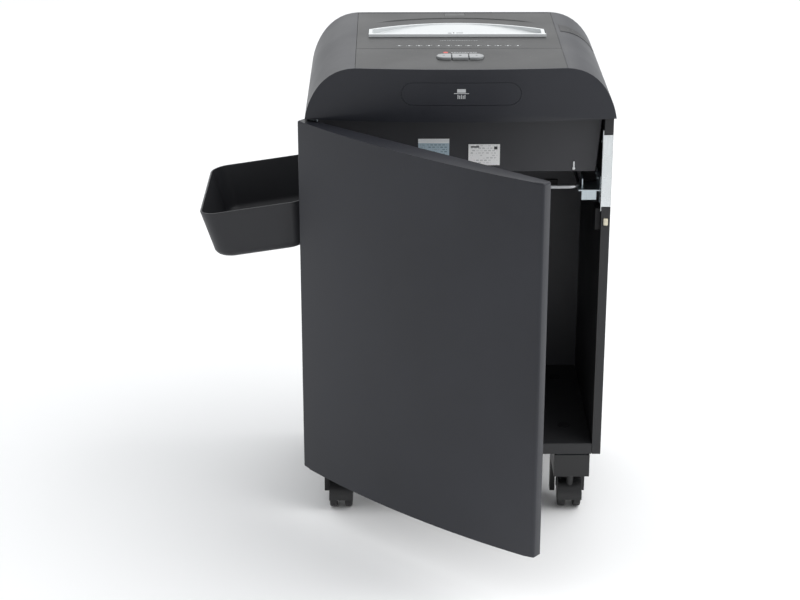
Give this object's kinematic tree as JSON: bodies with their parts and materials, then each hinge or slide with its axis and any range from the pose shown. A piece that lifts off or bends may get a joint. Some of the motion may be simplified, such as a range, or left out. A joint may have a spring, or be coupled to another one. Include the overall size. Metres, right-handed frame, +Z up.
{
  "type": "paper shredder",
  "caption": "Deskside paper shredder: castored cabinet with a bowed side-hinged door, a D-profile cutting head with paper and disc slots, push buttons and a clip-on side tray.",
  "frame": {"origin": "centre of the cabinet's underside (the lower face of its base board)", "axes": "+X to the right, +Y to the back, +Z up; the castors reach below the origin"},
  "size_m": [0.5445, 0.5512, 0.6535],
  "materials": {
    "board": "black laminate with a fine texture",
    "shell": "charcoal, fine satin texture",
    "deck": "charcoal, satin",
    "inner_black": "black, satin",
    "pale": "pale silver white, satin gloss",
    "button": "light grey, satin",
    "lamp": "translucent pale",
    "label": "white printed film",
    "pale_blue": "pale blue printed film",
    "cream": "cream, matte",
    "zinc": "zinc plated",
    "bright_steel": "bright, lightly brushed",
    "steel": "machined",
    "gear": "natural nylon",
    "brass": "machined",
    "circuit": "green board",
    "castor": "black, satin"
  },
  "bodies": {
    "cabinet": {"cabinet_left_panel": "board", "cabinet_right_panel": "board", "cabinet_base": "board", "cabinet_back_panel": "board", "head_cover": "shell", "mechanism_housing": "shell", "rear_deck": "deck", "control_strip": "deck", "interlock_switch": "inner_black", "badge_plate": "inner_black", "side_inlay": "inner_black", "feed_chute": "inner_black", "stripper_front": "inner_black", "stripper_rear": "inner_black", "power_inlet": "inner_black", "switch_frame": "inner_black", "wall_clip": "inner_black", "throat_insert": "pale", "deck_label": "button", "indicator_light_guide": "lamp", "rating_label": "label", "housing_clip": "label", "notice_label": "pale_blue", "hinge_bracket_bottom": "zinc", "hinge_bracket_top": "zinc", "side_plate_left": "zinc", "side_plate_right": "zinc", "bag_bracket_left": "zinc", "bag_bracket_right": "zinc", "strike_plate": "bright_steel", "motor": "steel", "control_board": "circuit", "castor_fl_bracket": "castor", "castor_fr_bracket": "castor", "castor_rl_bracket": "castor", "castor_rr_bracket": "castor"},
    "door": {"door_shell": "shell", "door_liner": "inner_black", "door_magnet": "steel"},
    "tray": {"tray": "shell"},
    "bag_frame": {"bag_frame": "steel"},
    "button_reverse": {"button_reverse": "button"},
    "button_auto": {"button_auto": "button"},
    "button_forward": {"button_forward": "button"},
    "interlock_plunger": {"interlock_plunger": "cream"},
    "rocker": {"rocker_switch": "inner_black"},
    "cutter_front": {"cutter_front": "steel", "gear_front": "gear"},
    "cutter_rear": {"cutter_rear": "steel", "gear_rear": "gear"},
    "reduction": {"reduction_gear": "gear"},
    "pinion": {"motor_pinion": "brass"},
    "castor_fl_swivel": {"castor_fl_hood": "castor"},
    "castor_fl_roll": {"castor_fl_wheels": "castor"},
    "castor_fr_swivel": {"castor_fr_hood": "castor"},
    "castor_fr_roll": {"castor_fr_wheels": "castor"},
    "castor_rl_swivel": {"castor_rl_hood": "castor"},
    "castor_rl_roll": {"castor_rl_wheels": "castor"},
    "castor_rr_swivel": {"castor_rr_hood": "castor"},
    "castor_rr_roll": {"castor_rr_wheels": "castor"}
  },
  "joints": [
    {"name": "door_hinge", "type": "hinge", "parent": "cabinet", "child": "door", "pos_m": [-0.194, -0.1335, 0.24], "axis": [0, 0, -1], "range_deg": [-41.2, 62]},
    {"name": "tray_lift", "type": "slide", "parent": "cabinet", "child": "tray", "axis": [0, 0, 1], "range_m": [0, 0.012]},
    {"name": "bag_frame_lift", "type": "slide", "parent": "cabinet", "child": "bag_frame", "axis": [0, 0, 1], "range_m": [0, 0.014]},
    {"name": "button_reverse_press", "type": "slide", "parent": "cabinet", "child": "button_reverse", "axis": [0, 0, -1], "range_m": [0, 0.0025], "stiffness_N_per_m": 300},
    {"name": "button_auto_press", "type": "slide", "parent": "cabinet", "child": "button_auto", "axis": [0, 0, -1], "range_m": [0, 0.0025], "stiffness_N_per_m": 300},
    {"name": "button_forward_press", "type": "slide", "parent": "cabinet", "child": "button_forward", "axis": [0, 0, -1], "range_m": [0, 0.0025], "stiffness_N_per_m": 300},
    {"name": "interlock_press", "type": "slide", "parent": "cabinet", "child": "interlock_plunger", "axis": [0, 1, 0], "range_m": [0, 0.0014], "stiffness_N_per_m": 200},
    {"name": "rocker_tilt", "type": "hinge", "parent": "cabinet", "child": "rocker", "pos_m": [0.1, 0.135, 0.512], "axis": [1, 0, 0], "range_deg": [0, 12]},
    {"name": "cutter_front_spin", "type": "hinge", "parent": "cabinet", "child": "cutter_front", "pos_m": [0, -0.012, 0.455], "axis": [1, 0, 0], "continuous": true},
    {"name": "cutter_rear_spin", "type": "hinge", "parent": "cabinet", "child": "cutter_rear", "pos_m": [0, 0.028, 0.455], "axis": [1, 0, 0], "continuous": true},
    {"name": "reduction_spin", "type": "hinge", "parent": "cabinet", "child": "reduction", "pos_m": [-0.14, 0.0567, 0.46838], "axis": [1, 0, 0], "continuous": true},
    {"name": "pinion_spin", "type": "hinge", "parent": "cabinet", "child": "pinion", "pos_m": [-0.14, 0.0942, 0.4684], "axis": [1, 0, 0], "continuous": true},
    {"name": "castor_fl_swivel_turn", "type": "hinge", "parent": "cabinet", "child": "castor_fl_swivel", "pos_m": [-0.16, -0.112, -0.04], "axis": [0, 0, 1], "continuous": true},
    {"name": "castor_fl_roll_turn", "type": "hinge", "parent": "castor_fl_swivel", "child": "castor_fl_roll", "pos_m": [-0.16, -0.1, -0.0755], "axis": [1, 0, 0], "continuous": true},
    {"name": "castor_fr_swivel_turn", "type": "hinge", "parent": "cabinet", "child": "castor_fr_swivel", "pos_m": [0.16, -0.112, -0.04], "axis": [0, 0, 1], "continuous": true},
    {"name": "castor_fr_roll_turn", "type": "hinge", "parent": "castor_fr_swivel", "child": "castor_fr_roll", "pos_m": [0.16, -0.1, -0.0755], "axis": [1, 0, 0], "continuous": true},
    {"name": "castor_rl_swivel_turn", "type": "hinge", "parent": "cabinet", "child": "castor_rl_swivel", "pos_m": [-0.16, 0.112, -0.04], "axis": [0, 0, 1], "continuous": true},
    {"name": "castor_rl_roll_turn", "type": "hinge", "parent": "castor_rl_swivel", "child": "castor_rl_roll", "pos_m": [-0.16, 0.1, -0.0755], "axis": [1, 0, 0], "continuous": true},
    {"name": "castor_rr_swivel_turn", "type": "hinge", "parent": "cabinet", "child": "castor_rr_swivel", "pos_m": [0.16, 0.112, -0.04], "axis": [0, 0, 1], "continuous": true},
    {"name": "castor_rr_roll_turn", "type": "hinge", "parent": "castor_rr_swivel", "child": "castor_rr_roll", "pos_m": [0.16, 0.1, -0.0755], "axis": [1, 0, 0], "continuous": true}
  ],
  "couplings": [
    {"joint": "cutter_rear_spin", "follows": "cutter_front_spin", "ratio": -1},
    {"joint": "reduction_spin", "follows": "cutter_front_spin", "ratio": 1.7143},
    {"joint": "pinion_spin", "follows": "cutter_front_spin", "ratio": -6.8571}
  ]
}
